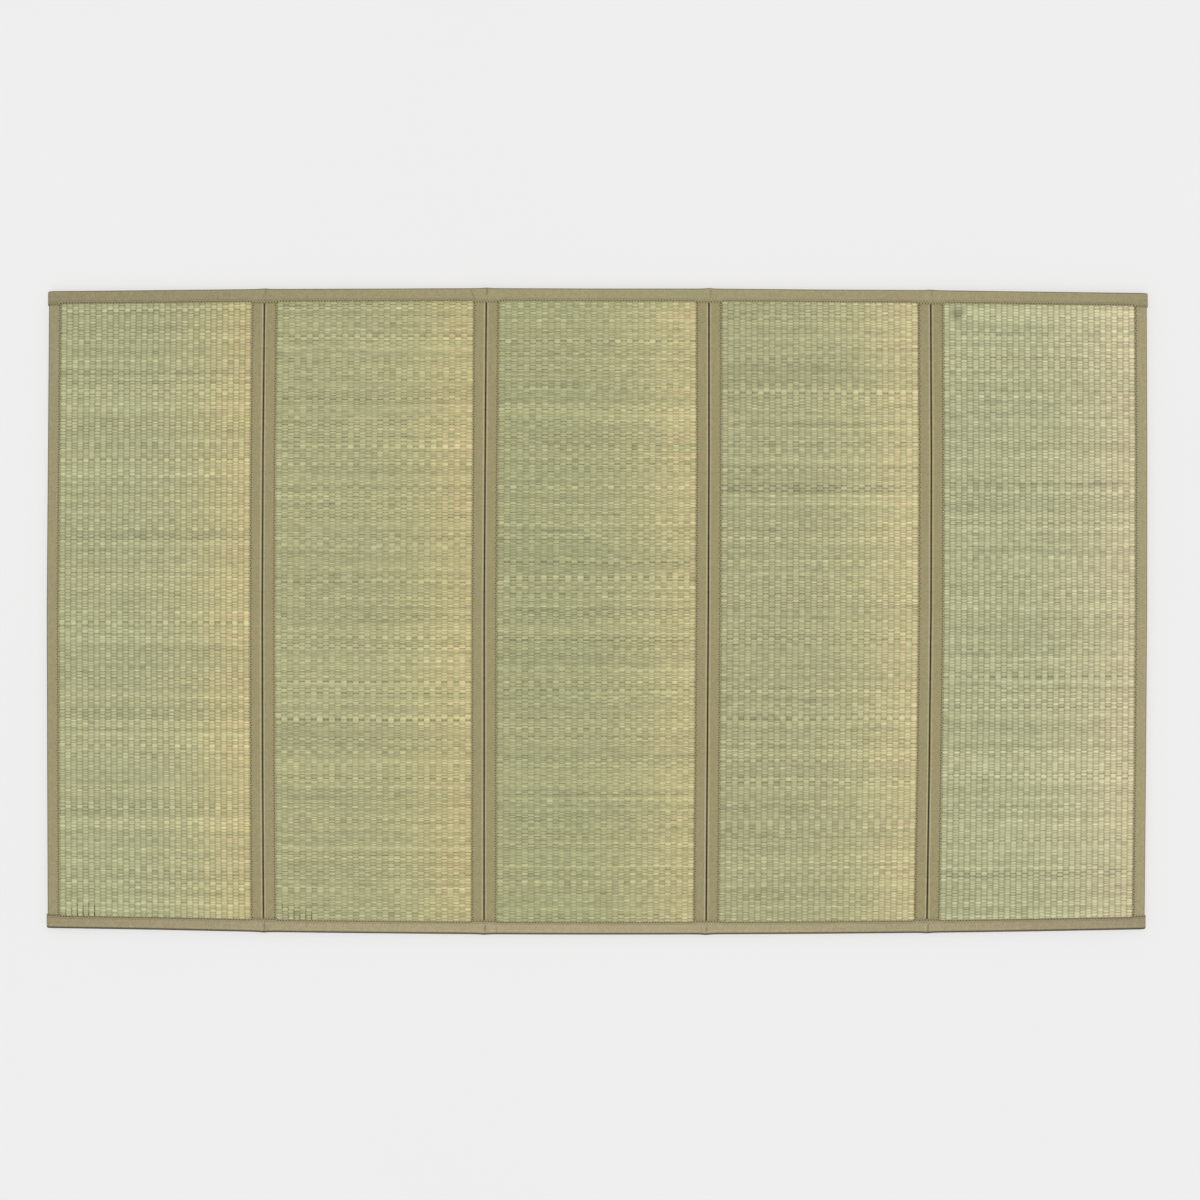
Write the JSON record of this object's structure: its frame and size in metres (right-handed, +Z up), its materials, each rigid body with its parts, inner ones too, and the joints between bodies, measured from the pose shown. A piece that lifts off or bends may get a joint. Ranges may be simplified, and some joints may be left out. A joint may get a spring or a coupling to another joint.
{
  "type": "folding rush tatami mat",
  "caption": "Oblong folding floor mat of woven rush panels with upright ribs, edged with folded cloth tape and hinged by one long tape at each end, laid open and flat.",
  "frame": {"origin": "on the floor under the middle of the mat, at the bottom centre of its box", "axes": "+X along the mat's length, across its panels; +Y along the ribs, from the near end binding to the far one; +Z up, through the thickness"},
  "size_m": [1.5036, 0.8846, 0.011],
  "materials": {
    "rush": "woven rush, dry, faint sheen",
    "rush_pale": "woven rush, paler and yellower, dry",
    "side_tape": "woven olive tape, matt",
    "end_tape": "woven olive tape, matt"
  },
  "bodies": {
    "root": {"panel_1": "rush", "panel_2": "rush", "panel_3": "rush", "panel_4": "rush", "panel_5": "rush_pale", "side_binding_1_left": "side_tape", "side_binding_1_right": "side_tape", "side_binding_2_left": "side_tape", "side_binding_2_right": "side_tape", "side_binding_3_left": "side_tape", "side_binding_3_right": "side_tape", "side_binding_4_left": "side_tape", "side_binding_4_right": "side_tape", "side_binding_5_left": "side_tape", "side_binding_5_right": "side_tape", "end_binding_near": "end_tape", "end_binding_far": "end_tape"}
  },
  "joints": []
}
